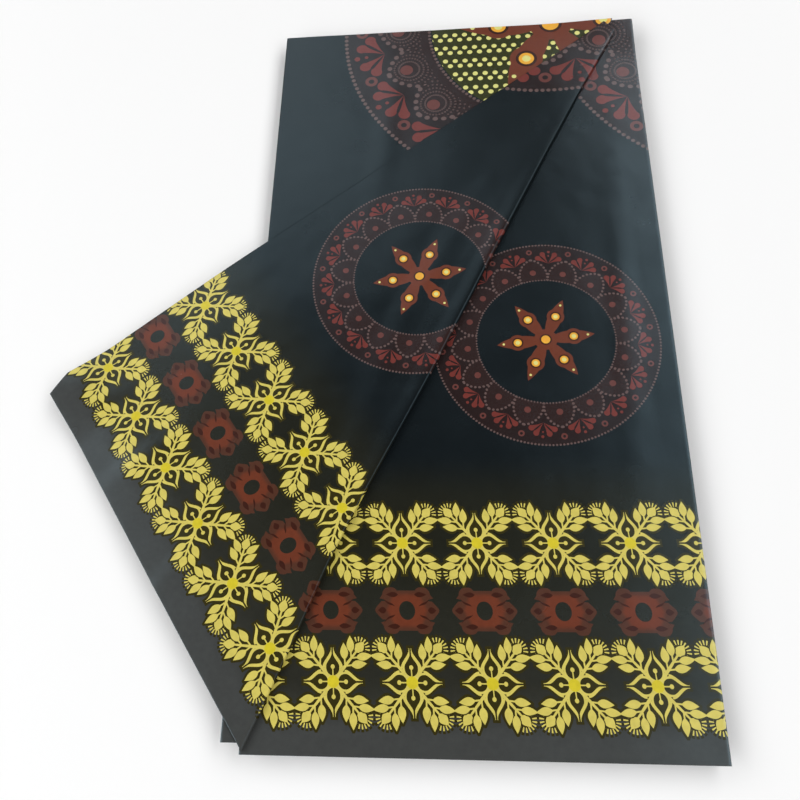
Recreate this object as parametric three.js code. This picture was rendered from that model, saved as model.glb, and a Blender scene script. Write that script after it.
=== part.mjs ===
// A folded length of printed cotton cloth, lying flat: a stack of doubled leaves
// with the corner of its top leaf turned over into a large three-cornered flap.
// Millimetres, +Z up, +Y away from the near (selvedge) edge, resting on Z = 0.

import * as THREE from 'three';

// The folded stack. Each leaf is doubled cloth, folded along the middle of its width,
// so its far edge is that fold and its near edge the two selvedges.
const STACK = {
  length: 584,          // half of the cloth's 1168 mm width
  nearWidth: 297,
  farWidth: 304,
  hiddenHeight: 8,      // the folds under the leaves that show
  hiddenInset: 1.5,     // how far they stay inside the leaves above
  noseDepth: 1.1,       // groove between one leaf nose and the next
  cornerRadius: 7,
  nearLeftRadius: 12,
};
const LEAF = { wall: 1.4, gap: 0.3, rimShare: 0.22 };

// How far each hidden leaf draws in at its edges, from the lowest to the highest.
const HIDDEN_LEAVES = [
  { left: 0.4, right: 0.9, near: 1.2, far: 0.3 },
  { left: 1.1, right: 0.1, near: 0.2, far: 0.9 },
  { left: 0.0, right: 0.7, near: 1.6, far: 0.1 },
  { left: 0.8, right: 0.2, near: 0.5, far: 0.7 },
  { left: 0.2, right: 1.1, near: 1.1, far: 0.0 },
  { left: 0.9, right: 0.3, near: 0.1, far: 0.8 },
  { left: 0.3, right: 0.6, near: 0.8, far: 0.4 },
];

// At the near left corner the two upper leaves lie a little out of line.
const NEAR_LEFT = { topLeafStep: 6.5, lowerLeafStep: 13, stepLength: 70 };
const TOP_LEAF_PROUD = 0.5;

// The fold that the flap turns on, and the flap's own corners, seen from above.
const FOLD_START = new THREE.Vector2(-131, 1.5);
const FOLD_END = new THREE.Vector2(143, 583.7);
const FLAP_CORNER = new THREE.Vector2(-306, 251);
const FLAP_CUT_END = new THREE.Vector2(126.4, 579.8);
const FLAP_DEPTH = 550;           // from the selvedge towards the middle fold
const LIP = 7;                    // how far the flap reaches back under itself

// The fold's bow to the left of a straight line, and the radius of its roll.
const FOLD_LINE = [
  { along: 0, bow: 0, radius: 1.1 },
  { along: 60, bow: 7, radius: 1.7 },
  { along: 135, bow: 10.5, radius: 2.6 },
  { along: 265, bow: 7, radius: 3.4 },
  { along: 411, bow: 6, radius: 3.0 },
  { along: 548, bow: 4, radius: 1.6 },
  { along: 643, bow: 0, radius: 2.4 },
];
const ROLL_SPREAD = 26;           // how far the roll's ridge takes to lie down

// Off the stack's left edge the flap sinks to the surface, and its far corner curls up.
const DRAPE = { start: 2, run: 58 };
const CORNER_CURL = { reach: 34, height: 4.5 };

// Soft ridges on the leaves and the flap: centre, direction in degrees, half sizes, height.
const LEAF_RIDGES = [
  { x: 20, y: 242, angle: 1, halfLength: 190, halfWidth: 9, height: 0.5 },
  { x: -60, y: 470, angle: 84, halfLength: 120, halfWidth: 16, height: 0.6 },
  { x: 118, y: 300, angle: 88, halfLength: 230, halfWidth: 14, height: 0.5 },
  { x: 150, y: 592, angle: -20, halfLength: 80, halfWidth: 52, height: 3.0 },
];
const FLAP_RIDGES = [
  { x: -24, y: 330, angle: 63, halfLength: 160, halfWidth: 13, height: 1.3 },
  { x: -70, y: 215, angle: 71, halfLength: 120, halfWidth: 12, height: 1.0 },
  { x: -96, y: 372, angle: -52, halfLength: 110, halfWidth: 8, height: 0.7 },
  { x: -222, y: 190, angle: 35, halfLength: 46, halfWidth: 13, height: 2.2 },
  { x: -262, y: 232, angle: 30, halfLength: 40, halfWidth: 10, height: 1.6 },
  { x: -190, y: 110, angle: 40, halfLength: 34, halfWidth: 12, height: 1.4 },
];

// How finely each wall is divided.
const GRID = {
  lowerLeaf: { across: 14, down: 24 },
  topLeaf: { across: 12, down: 24 },
  flap: { across: 15, down: 30, rollReaches: [2, 6, 12, 20, 30] },
  cornerSteps: 5,
};

const CLOTH = new THREE.MeshStandardMaterial({ color: 0x14181c, roughness: 0.55, metalness: 0 });
const EDGES = new THREE.MeshStandardMaterial({ color: 0x23282c, roughness: 0.7, metalness: 0 });

const LOWER_LEAF_Z = STACK.hiddenHeight + LEAF.gap;
const TOP_LEAF_Z = LOWER_LEAF_Z + LEAF.wall + LEAF.gap;
const FLAP_Z = TOP_LEAF_Z + LEAF.wall + LEAF.gap;

const foldChord = new THREE.Vector2().subVectors(FOLD_END, FOLD_START).normalize();
const foldSide = new THREE.Vector2(-foldChord.y, foldChord.x);

const { clamp, degToRad, lerp } = THREE.MathUtils;

// Eases from 0 to 1.
function ease(share) {
  const s = clamp(share, 0, 1);
  return s * s * (3 - 2 * s);
}

const foldCurve = new THREE.CubicInterpolant(
  FOLD_LINE.map((row) => row.along),
  FOLD_LINE.flatMap((row) => [row.bow, row.radius]),
  2,
);

// The fold's bow and radius at a distance along it, on a smooth curve through the table.
function foldAt(along) {
  const [bow, radius] = foldCurve.evaluate(along);
  return { bow, radius };
}

// Height of the ridges at a place: full along the middle of each, easing to nothing round it.
function ridgeHeight(ridges, x, y) {
  return ridges.reduce((height, ridge) => {
    const turn = degToRad(ridge.angle);
    const [dx, dy] = [x - ridge.x, y - ridge.y];
    const along = (dx * Math.cos(turn) + dy * Math.sin(turn)) / ridge.halfLength;
    const across = (dy * Math.cos(turn) - dx * Math.sin(turn)) / ridge.halfWidth;
    return height + ridge.height * ease(1 - Math.abs(along)) * ease(1 - Math.abs(across));
  }, 0);
}

function halfWidthAt(y) {
  return lerp(STACK.nearWidth, STACK.farWidth, y / STACK.length) / 2;
}

// Places from one value to another, with a narrow first and last step for the rounded rim.
function rimmedSteps(from, to, count) {
  const rim = LEAF.wall * Math.sign(to - from);
  const inner = Array.from({ length: count + 1 }, (_, i) => lerp(from + rim, to - rim, i / count));
  return [from, ...inner, to];
}

function geometryFrom(points, faces) {
  const geometry = new THREE.BufferGeometry();
  const numbers = points.flatMap((point) => point.toArray());
  geometry.setAttribute('position', new THREE.Float32BufferAttribute(numbers, 3));
  geometry.setIndex(faces);
  geometry.computeVertexNormals();
  return geometry;
}

// One closed wall between a lower and an upper grid of points.
function closedWall(lower, upper) {
  const rows = lower.length;
  const columns = lower[0].length;
  const low = (i, j) => i * columns + j;
  const high = (i, j) => rows * columns + low(i, j);
  const faces = [];
  const quad = (a, b, c, d) => faces.push(a, b, c, a, c, d);
  const [lastRow, lastColumn] = [rows - 1, columns - 1];
  for (let i = 0; i < lastRow; i += 1) {
    for (let j = 0; j < lastColumn; j += 1) {
      quad(high(i, j), high(i, j + 1), high(i + 1, j + 1), high(i + 1, j));
      quad(low(i, j), low(i + 1, j), low(i + 1, j + 1), low(i, j + 1));
    }
  }
  for (let j = 0; j < lastColumn; j += 1) {
    quad(low(0, j), low(0, j + 1), high(0, j + 1), high(0, j));
    quad(low(lastRow, j + 1), low(lastRow, j), high(lastRow, j), high(lastRow, j + 1));
  }
  for (let i = 0; i < lastRow; i += 1) {
    quad(low(i + 1, 0), low(i, 0), high(i, 0), high(i + 1, 0));
    quad(low(i, lastColumn), low(i + 1, lastColumn), high(i + 1, lastColumn), high(i, lastColumn));
  }
  return geometryFrom([...lower.flat(), ...upper.flat()], faces);
}

// A wall of cloth about a grid of middle points, thinner at its rim as a folded edge is.
function clothWall(middle) {
  const lastRow = middle.length - 1;
  const lastColumn = middle[0].length - 1;
  const at = (i, j) => middle[clamp(i, 0, lastRow)][clamp(j, 0, lastColumn)];
  const moved = (side) =>
    middle.map((row, i) =>
      row.map((point, j) => {
        const down = new THREE.Vector3().subVectors(at(i + 1, j), at(i - 1, j));
        const across = new THREE.Vector3().subVectors(at(i, j + 1), at(i, j - 1));
        const normal = across.cross(down).normalize();
        const onRim = i === 0 || j === 0 || i === lastRow || j === lastColumn;
        const reach = side * LEAF.wall * (onRim ? LEAF.rimShare : 0.5);
        return point.clone().addScaledVector(normal, reach);
      }),
    );
  return closedWall(moved(-1), moved(1));
}

// A leaf lying on what is under it, between a left and a right edge.
function leafGeometry({ left, right, near, far, z, grid }) {
  return clothWall(
    rimmedSteps(near, far, grid.down).map((y) =>
      rimmedSteps(left(y), right(y), grid.across).map((x) => {
        const height = z + LEAF.wall / 2 + ridgeHeight(LEAF_RIDGES, x, y);
        return new THREE.Vector3(x, y, height);
      }),
    ),
  );
}

function lowerLeafGeometry() {
  const step = (y) => NEAR_LEFT.lowerLeafStep * (1 - ease(y / NEAR_LEFT.stepLength));
  return leafGeometry({
    left: (y) => step(y) - halfWidthAt(y),
    right: halfWidthAt,
    near: 0,
    far: STACK.length,
    z: LOWER_LEAF_Z,
    grid: GRID.lowerLeaf,
  });
}

// Where a line beside the fold, at a distance to its left, crosses a given y.
function besideFold(y, distance) {
  let along = 0;
  for (let pass = 0; pass < 6; pass += 1) {
    const inward = foldAt(along).bow + distance;
    along = (y - FOLD_START.y - foldSide.y * inward) / foldChord.y;
  }
  return FOLD_START.x + foldChord.x * along + foldSide.x * (foldAt(along).bow + distance);
}

function topLeafGeometry() {
  return leafGeometry({
    left: (y) => -halfWidthAt(y) - TOP_LEAF_PROUD,
    right: (y) => besideFold(y, LIP + LEAF.gap),
    near: NEAR_LEFT.topLeafStep,
    far: STACK.length + TOP_LEAF_PROUD,
    z: TOP_LEAF_Z,
    grid: GRID.topLeaf,
  });
}

// The height that the flap lies at: on the stack, or on the surface beside it.
function flapHeight(x, y) {
  const beside = -halfWidthAt(y) - DRAPE.start - x;
  const onStack = 1 - ease(beside / DRAPE.run);
  return onStack * (FLAP_Z + ridgeHeight(LEAF_RIDGES, x, y)) + ridgeHeight(FLAP_RIDGES, x, y);
}

// Takes a place on the flap, laid out past the fold, to its place in the round.
function rollOver(flat) {
  const from = new THREE.Vector2().subVectors(flat, FOLD_START);
  const along = from.dot(foldChord);
  const { bow, radius } = foldAt(along);
  const past = from.dot(foldSide) - bow;
  const quarter = radius * Math.PI / 2;
  const turn = clamp(past / radius, -Math.PI / 2, Math.PI / 2);
  const inward = radius * (1 - Math.cos(turn)) + Math.max(0, Math.abs(past) - quarter);
  const place = FOLD_START.clone()
    .addScaledVector(foldChord, along)
    .addScaledVector(foldSide, bow + inward);
  const lipHeight = TOP_LEAF_Z + LEAF.wall / 2 + ridgeHeight(LEAF_RIDGES, place.x, place.y);
  const rolled = lipHeight + radius * (1 + Math.sin(turn));
  const lying = flapHeight(place.x, place.y) + LEAF.wall / 2;
  const curl = CORNER_CURL.height * ease(1 - place.distanceTo(FLAP_CORNER) / CORNER_CURL.reach);
  const height = lerp(rolled, lying, ease((past - quarter) / ROLL_SPREAD)) + curl;
  return new THREE.Vector3(place.x, place.y, height);
}

// The flap: its rows run with the selvedge, from the lip under the fold to the cut end.
function flapGeometry() {
  const selvedge = new THREE.Vector2().subVectors(FLAP_CORNER, FOLD_START);
  const width = selvedge.length();
  selvedge.normalize();
  const inwards = new THREE.Vector2(selvedge.y, -selvedge.x);
  const cutEnd = new THREE.Vector2().subVectors(FLAP_CUT_END, FLAP_CORNER);
  const cutSkew = cutEnd.dot(selvedge) / cutEnd.dot(inwards);
  const foldSkew = foldChord.dot(selvedge) / foldChord.dot(inwards);
  const slant = selvedge.dot(foldSide);
  return clothWall(
    rimmedSteps(0, FLAP_DEPTH, GRID.flap.down).map((depth) => {
      const { bow, radius } = foldAt(depth / foldChord.dot(inwards));
      const fold = foldSkew * depth + bow / slant;
      return flapReaches(radius, (width + cutSkew * depth - fold) * slant).map((reach) =>
        rollOver(FOLD_START.clone()
          .addScaledVector(selvedge, fold + reach / slant)
          .addScaledVector(inwards, depth)));
    }),
  );
}

// Distances from the fold across one row: close round the roll, then evenly spread.
function flapReaches(radius, end) {
  const quarter = radius * Math.PI / 2;
  const lip = -(LIP - radius + quarter);
  const roll = [lip, lip + LEAF.wall, -quarter, -quarter / 2, 0, quarter / 2, quarter];
  const room = Math.min(1, (end - LEAF.wall - quarter) / 60);
  const ridge = GRID.flap.rollReaches.map((reach) => quarter + reach * room);
  const spread = Array.from({ length: GRID.flap.across }, (_, i) =>
    lerp(ridge.at(-1), end - LEAF.wall, (i + 1) / GRID.flap.across));
  return [...roll, ...ridge, ...spread, end];
}

// A rounded outline of the stack, drawn in from its edges.
function stackOutline({ left, right, near, far }, drawnIn, z) {
  const inset = STACK.hiddenInset + drawnIn;
  const low = near + inset;
  const high = STACK.length - far - inset;
  const corners = [
    { side: 1, inward: right, y: low, towards: 1, radius: STACK.cornerRadius, start: -90 },
    { side: 1, inward: right, y: high, towards: -1, radius: STACK.cornerRadius, start: 0 },
    { side: -1, inward: left, y: high, towards: -1, radius: STACK.cornerRadius, start: 90 },
    { side: -1, inward: left, y: low, towards: 1, radius: STACK.nearLeftRadius, start: 180 },
  ];
  return corners.flatMap(({ side, inward, y, towards, radius, start }) =>
    Array.from({ length: GRID.cornerSteps }, (_, i) => {
      const angle = degToRad(start + 90 * i / (GRID.cornerSteps - 1));
      const x = side * (halfWidthAt(y) - inward - inset - radius) + radius * Math.cos(angle);
      return new THREE.Vector3(x, y + towards * radius + radius * Math.sin(angle), z);
    }),
  );
}

// The hidden folds: one solid whose sides show a nose for each leaf and a groove between.
function hiddenFoldsGeometry() {
  const leafHeight = STACK.hiddenHeight / HIDDEN_LEAVES.length;
  const rings = HIDDEN_LEAVES.flatMap((leaf, i) => [
    stackOutline(leaf, STACK.noseDepth, i * leafHeight),
    stackOutline(leaf, 0, (i + 0.3) * leafHeight),
    stackOutline(leaf, 0, (i + 0.7) * leafHeight),
  ]);
  rings.push(stackOutline(HIDDEN_LEAVES.at(-1), STACK.noseDepth, STACK.hiddenHeight));
  const count = rings[0].length;
  const points = rings.flat();
  const faces = [];
  for (let ring = 0; ring < rings.length - 1; ring += 1) {
    for (let i = 0; i < count; i += 1) {
      const [a, b] = [ring * count + i, ring * count + (i + 1) % count];
      faces.push(a, b, b + count, a, b + count, a + count);
    }
  }
  const top = (rings.length - 1) * count;
  for (let i = 1; i < count - 1; i += 1) {
    faces.push(0, i + 1, i);
    faces.push(top, top + i, top + i + 1);
  }
  return geometryFrom(points, faces);
}

function piece(name, geometry, material) {
  const mesh = new THREE.Mesh(geometry, material);
  mesh.name = name;
  return mesh;
}

// The whole cloth, moved so that the middle of its base is at the origin.
function foldedCloth() {
  const group = new THREE.Group();
  group.add(
    piece('hidden_folds', hiddenFoldsGeometry(), EDGES),
    piece('lower_leaf', lowerLeafGeometry(), CLOTH),
    piece('top_leaf', topLeafGeometry(), CLOTH),
    piece('turned_flap', flapGeometry(), CLOTH),
  );
  const middle = new THREE.Box3().setFromObject(group, true).getCenter(new THREE.Vector3());
  group.position.set(-middle.x, -middle.y, 0);
  group.updateMatrixWorld(true);
  return group;
}

export default foldedCloth();
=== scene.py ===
import math
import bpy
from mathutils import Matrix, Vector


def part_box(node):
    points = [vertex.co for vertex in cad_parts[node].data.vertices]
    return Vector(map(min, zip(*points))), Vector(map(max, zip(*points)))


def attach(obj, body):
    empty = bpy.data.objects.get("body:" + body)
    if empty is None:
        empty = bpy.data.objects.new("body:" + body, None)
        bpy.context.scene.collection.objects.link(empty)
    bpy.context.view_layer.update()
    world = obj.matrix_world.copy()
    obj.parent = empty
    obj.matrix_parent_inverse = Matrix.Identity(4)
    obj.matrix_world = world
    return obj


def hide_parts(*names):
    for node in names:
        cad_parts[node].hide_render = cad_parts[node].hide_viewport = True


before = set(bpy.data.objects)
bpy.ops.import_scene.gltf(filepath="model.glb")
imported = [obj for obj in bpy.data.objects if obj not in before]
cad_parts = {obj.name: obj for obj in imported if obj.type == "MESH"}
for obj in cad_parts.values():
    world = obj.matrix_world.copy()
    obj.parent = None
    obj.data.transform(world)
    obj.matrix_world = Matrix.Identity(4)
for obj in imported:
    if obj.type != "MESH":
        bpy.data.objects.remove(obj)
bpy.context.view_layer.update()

from types import SimpleNamespace

import bmesh
import bpy
from mathutils import Matrix, Vector, noise

bl_info = {
    "name": "Folded Printed Cotton",
    "version": (1, 0, 0),
    "blender": (4, 5, 0),
    "location": "View3D > Sidebar > Cloth",
    "description": "A folded length of wax-printed cotton with one corner turned over",
    "category": "Object",
}

MM = 0.001

# The lower leaf is the whole folded stack seen from above. All plans below are in
# millimetres from the middle of its near edge, with heights from the surface it lies on.
STACK_LOW, STACK_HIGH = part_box("lower_leaf")
HIDDEN_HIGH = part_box("hidden_folds")[1]
PLAN_ORIGIN = Vector(((STACK_LOW.x + STACK_HIGH.x) / 2, STACK_LOW.y, 0))
LENGTH = (STACK_HIGH.y - STACK_LOW.y) / MM
FAR_WIDTH = (STACK_HIGH.x - STACK_LOW.x) / MM
NEAR_WIDTH = FAR_WIDTH - 7
HIDDEN_HEIGHT = HIDDEN_HIGH.z / MM

# A leaf is two plies of cloth in a wall, with a small gap from one wall to the next.
WALL = 1.4
GAP = 0.3
LOWER_LEAF_Z = HIDDEN_HEIGHT + GAP
TOP_LEAF_Z = LOWER_LEAF_Z + WALL + GAP
FLAP_Z = TOP_LEAF_Z + WALL + GAP

# The near left corner, where the two upper leaves lie a little out of line.
TOP_LEAF_STEP = 6.5
LOWER_LEAF_STEP = 11
STEP_LENGTH = 70
TOP_LEAF_PROUD = 0.5

# The fold that the flap turns on, and the flap's own corners. A lip of the cloth is turned
# under at the fold, and it grows to its full reach along the first part of the fold.
FOLD_START = Vector((-135.9, 2.5))
FOLD_END = Vector((143, 583.7))
FLAP_CORNER = Vector((-308.1, 243.1))
FLAP_CUT_END = Vector((126.4, 579.8))
FLAP_DEPTH = 550
LIP = 7
LIP_GROWS = 30

# Places along the fold: how far it bows to the left of its chord, the radius of its roll and
# how far the cloth beside it is lifted. The spreads are how far the roll and the lift take to
# lie down.
ROLL_SPREAD = 12
LIFT_SPREAD = 42
FOLD_LINE = (
    {"along": 0, "bow": 0, "radius": 0.9, "lift": 0},
    {"along": 60, "bow": 2.2, "radius": 0.9, "lift": 0.4},
    {"along": 136, "bow": 6.3, "radius": 1.0, "lift": 0.9},
    {"along": 266, "bow": 4.2, "radius": 1.1, "lift": 1.2},
    {"along": 412, "bow": 4.3, "radius": 1.1, "lift": 1.6},
    {"along": 549, "bow": 3.3, "radius": 0.9, "lift": 0.5},
    {"along": 645, "bow": 0, "radius": 0.85, "lift": 0},
)

# Off the stack's left edge the flap sinks to the surface, and its far corner curls up.
DRAPE_START = 2
DRAPE_RUN = 260
CURL_REACH = 60
CURL_HEIGHT = 7

# The flap's outer corner is blunt, cut off so far along its cut end and along its selvedge.
BLUNT_ALONG_CUT_END = 18
BLUNT_ALONG_SELVEDGE = 7.5

# Cloth that lies on cloth is wavy, by so much over such a distance.
WAVE_HEIGHT = 0.25
WAVE_SIZE = 48

# Soft ridges and troughs: centre, direction in degrees, half sizes and height.
LEAF_RIDGES = (
    {"x": 20, "y": 242, "angle": 1, "half_length": 190, "half_width": 4.5, "height": -0.4},
    {"x": -60, "y": 470, "angle": 84, "half_length": 120, "half_width": 16, "height": 0.6},
    {"x": 118, "y": 300, "angle": 88, "half_length": 230, "half_width": 14, "height": 0.5},
    {"x": 150, "y": 592, "angle": -20, "half_length": 80, "half_width": 52, "height": 3.0},
)
FLAP_RIDGES = (
    {"x": -24, "y": 330, "angle": 63, "half_length": 160, "half_width": 16, "height": 0.5},
    {"x": -70, "y": 215, "angle": 71, "half_length": 120, "half_width": 15, "height": 0.4},
    {"x": -96, "y": 372, "angle": -52, "half_length": 110, "half_width": 10, "height": 0.3},
    {"x": -222, "y": 190, "angle": 35, "half_length": 46, "half_width": 14, "height": 1.2},
    {"x": -262, "y": 232, "angle": 30, "half_length": 40, "half_width": 12, "height": 0.9},
    {"x": -190, "y": 110, "angle": 40, "half_length": 34, "half_width": 13, "height": 0.9},
)

# The hidden folds: how round the stack's corners are, how far each leaf's nose stands out
# from the groove beside it, and how far the leaves are drawn in from the outline, unevenly
# from leaf to leaf and along each edge.
HIDDEN_CORNER = 5
NOSE_DEPTH = 0.7
NOSE_LEVELS = (0.25, 0.5, 0.25)
SLACK = 1.4
SIDE_SLACK = {"by_leaf": 1.3, "along": 0.7, "wave": 55}
END_SLACK = {"by_leaf": 1.2, "along": 0.6, "wave": 60}

# How finely the pieces are divided. Edge steps are the places nearest to a leaf's edge. The
# flap's grid runs from FLAP_FROM to FLAP_TO along the fold and FLAP_REACH past it.
EDGE_STEPS = (0, 0.35, 0.8, 1.4, 2.5)
LEAF_ACROSS = 44
LEAF_DOWN = 84
TURN_STEPS = 8
ROLL_STEPS = 12
LIP_ROWS = (-2, -1.7, -1.35)
FLAP_ALONG = 118
FLAP_ACROSS = 104
FLAP_FROM = -40
FLAP_TO = 690
FLAP_REACH = 470
FLAP_GRADING = 2.4
RIM = 0.5
SIDE_CUTS = 36

# A leaf's edge drops a little, over a short reach.
EDGE_DROP = 0.25
EDGE_REACH = 1.4

# How the print lies on each piece, in the plan's millimetres and in repeats of the border.
# origin is on the selvedge, turn is the selvedge's direction, phase is the border flower's
# place along it, skew its drift for each repeat inwards, and each medallion has its centre
# and its outer radius, the small one in the field and the large one on the middle fold. spin
# is how far the medallions are turned, in degrees.
PRINTS = {
    "lower_leaf": {
        "origin": (-6.1, 0), "turn": 0, "phase": 0.08, "skew": 0.087,
        "small": (60.2, 274.2, 1.66), "large": (255.9, 584, 3.62), "spin": 6.4,
    },
    "top_leaf": {
        "origin": (-6.1, 32), "turn": 0, "phase": 0.5, "skew": 0,
        "small": (-122, 271.5, 1.66), "large": (82.1, 584, 3.72), "spin": 0,
    },
    "turned_flap": {
        "origin": (-131.7, 0.7), "turn": 125.46, "phase": 0.6, "skew": 0,
        "small": (-31.6, 328.4, 1.67), "large": (79.6, 688.4, 3.76), "spin": -2.4,
    },
}

# Places on the print, in repeats from the selvedge. The grey of the selvedge fades quickly
# to the strip's end and then slowly to the grey's end.
SELVEDGE_STRIP = 0.2
STRIP_END = 0.95
GREY_END = 2.8
BORDER_FROM = 0.22
BORDER_TO = 3.3
FLOWER_ROW = 1.733
FLOWER_ROW_APART = 0.876
LARGE_MEDALLION_FROM = 7.85

# Sizes of the print's shapes, in repeats.
ARM_ANGLE = 49.5
STEM_WIDTH = 0.01
OLIVE_RIM = 0.034
PETAL_STRETCH = 1.09
DOTS_APART = 0.174
DOT_ROWS_APART = 0.3155
LARGE_RADIUS = 3.72

# How pointed a scallop's arch is, and its half width, as shares of the ring's width.
ARCH_POINT = 0.12
ARCH_HALF_WIDTH = 0.33

# How far from the fold the cloth is worn dull, how far along it and over what fade, and how
# much.
WEAR_REACH = 4
WEAR_END = 660
WEAR_FADE = 140
MOST_WEAR = 0.82

# How round a thread is across its width, as a share of the width, and the depth in metres of
# the soft dents of handled cloth.
THREAD_ROUNDING = 0.08
DENT_DEPTH = 0.0004

# The stage: the camera in the plan's millimetres, the lights and the floor in metres.
CAMERA_PLACE = Vector((-2.7, 26.8, 489.7))
CAMERA_TARGET = Vector((-44.3, 228.1, 11))
CAMERA_TURN = -11.63
CAMERA_LENS = 33.2
LIGHTS = (
    {"name": "Left side", "azimuth": 203, "elevation": 34, "length": 6, "width": 1.2, "power": 70},
    {"name": "Right side", "azimuth": 6, "elevation": 49, "length": 6, "width": 1.2, "power": 61},
    {"name": "Far side", "azimuth": 118, "elevation": 40, "length": 1.4, "width": 1.1, "power": 5.4},
)
LIGHT_AWAY = 2.2
FLOOR_SIZE = 12
FLOOR_DEPTH = 0.0006
WORLD_STRENGTH = 0.035


# Sizes and colours that a user would change.

class ClothSizes(bpy.types.PropertyGroup):
    repeat: bpy.props.FloatProperty(
        name="Border repeat", description="Width of one flower of the border",
        default=48.7 * MM, unit="LENGTH")
    ply: bpy.props.FloatProperty(
        name="Ply", description="Thickness of the cloth as it is modelled",
        default=0.45 * MM, unit="LENGTH")
    hidden_leaves: bpy.props.IntProperty(
        name="Hidden leaves", description="Leaves under the two that show",
        default=11, min=2)
    weave: bpy.props.FloatProperty(
        name="Weave", description="Width of two threads of the weave",
        default=0.7 * MM, unit="LENGTH")


def colour_property(name, description, default):
    return bpy.props.FloatVectorProperty(
        name=name, description=description, default=default,
        subtype="COLOR", size=3, min=0, max=1)


class PrintColours(bpy.types.PropertyGroup):
    ground: colour_property("Ground", "Dark ground of the cloth", (0.0036, 0.0048, 0.0056))
    yellow: colour_property("Yellow", "Leaves and petals of the border", (0.68, 0.575, 0.12))
    bright: colour_property("Bright yellow", "Middles of the flowers", (0.68, 0.56, 0.025))
    olive: colour_property("Olive", "Shade round the yellow print", (0.034, 0.026, 0.002))
    red: colour_property("Red brown", "Motifs between the rows of flowers", (0.155, 0.035, 0.014))
    disc: colour_property("Discs", "Discs and rings of the medallions", (0.14, 0.042, 0.034))
    fan: colour_property("Fan red", "Fans and discs of the medallions", (0.17, 0.032, 0.024))
    dots: colour_property("Dots", "Dotted lines of the medallions", (0.128, 0.08, 0.073))
    field: colour_property("Olive field", "Ground inside the large medallion", (0.032, 0.032, 0.002))
    tint: colour_property("Tint", "Ground between a medallion's circles", (0.02, 0.0085, 0.007))
    pale: colour_property("Pale yellow", "Small dots inside the large medallion", (0.75, 0.72, 0.24))
    orange: colour_property("Orange", "Discs of the rosettes", (0.85, 0.42, 0.04))
    selvedge: colour_property("Selvedge", "Plain strip along the cloth's edge", (0.055, 0.056, 0.053))


INK_NAMES = tuple(PrintColours.__annotations__)


# Small sums on numbers.

def lerp(start, end, share):
    return start + (end - start) * share


def ease(share):
    """A smooth step from 0 to 1."""
    share = min(1, max(0, share))
    return share * share * (3 - 2 * share)


def half_width(y):
    """Half the width of the stack, which is a little wider at its far end."""
    return lerp(NEAR_WIDTH, FAR_WIDTH, y / LENGTH) / 2


def ridge_height(ridges, x, y):
    """Height of soft ridges at a place, easing to nothing round each."""
    height = 0
    for ridge in ridges:
        turn = math.radians(ridge["angle"])
        dx, dy = x - ridge["x"], y - ridge["y"]
        along = (dx * math.cos(turn) + dy * math.sin(turn)) / ridge["half_length"]
        across = (dy * math.cos(turn) - dx * math.sin(turn)) / ridge["half_width"]
        height += ridge["height"] * ease(1 - abs(along)) * ease(1 - abs(across))
    return height


FOLD_CHORD = (FOLD_END - FOLD_START).normalized()
FOLD_SIDE = Vector((-FOLD_CHORD.y, FOLD_CHORD.x))


def fold_at(along):
    """Bow, roll radius and lift of the fold, on a smooth curve through its table."""
    last = len(FOLD_LINE) - 1
    along = min(max(along, FOLD_LINE[0]["along"]), FOLD_LINE[last]["along"])
    low = max(i for i in range(last) if FOLD_LINE[i]["along"] <= along)
    start, end = FOLD_LINE[low], FOLD_LINE[low + 1]
    span = end["along"] - start["along"]
    share = (along - start["along"]) / span
    values = []
    for column in ("bow", "radius", "lift"):
        slopes = []
        for i in (low, low + 1):
            before, after = FOLD_LINE[max(0, i - 1)], FOLD_LINE[min(last, i + 1)]
            rise = after[column] - before[column]
            slopes.append(rise / (after["along"] - before["along"]) * span)
        cube, square = share ** 3, share ** 2
        values.append(
            (2 * cube - 3 * square + 1) * start[column]
            + (cube - 2 * square + share) * slopes[0]
            + (3 * square - 2 * cube) * end[column]
            + (cube - square) * slopes[1]
        )
    return values


def beside_fold(y, distance):
    """Where a line beside the fold, at a distance to its left, crosses a given y."""
    along = 0
    for _ in range(6):  # the bow changes little with the place, so this settles quickly
        inward = fold_at(along)[0] + distance
        along = (y - FOLD_START.y - FOLD_SIDE.y * inward) / FOLD_CHORD.y
    return FOLD_START.x + FOLD_CHORD.x * along + FOLD_SIDE.x * (fold_at(along)[0] + distance)


def lip_at(along):
    """How far the cloth that is turned under reaches from the fold."""
    return lerp(fold_at(along)[1], LIP, ease(along / LIP_GROWS))


# Making and finishing meshes.

def grid(columns, rows):
    """A flat grid from 0 to 1 each way."""
    mesh = bmesh.new()
    bmesh.ops.create_grid(mesh, x_segments=columns, y_segments=rows, size=0.5)
    bmesh.ops.translate(mesh, verts=mesh.verts, vec=(0.5, 0.5, 0))
    return mesh


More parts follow.
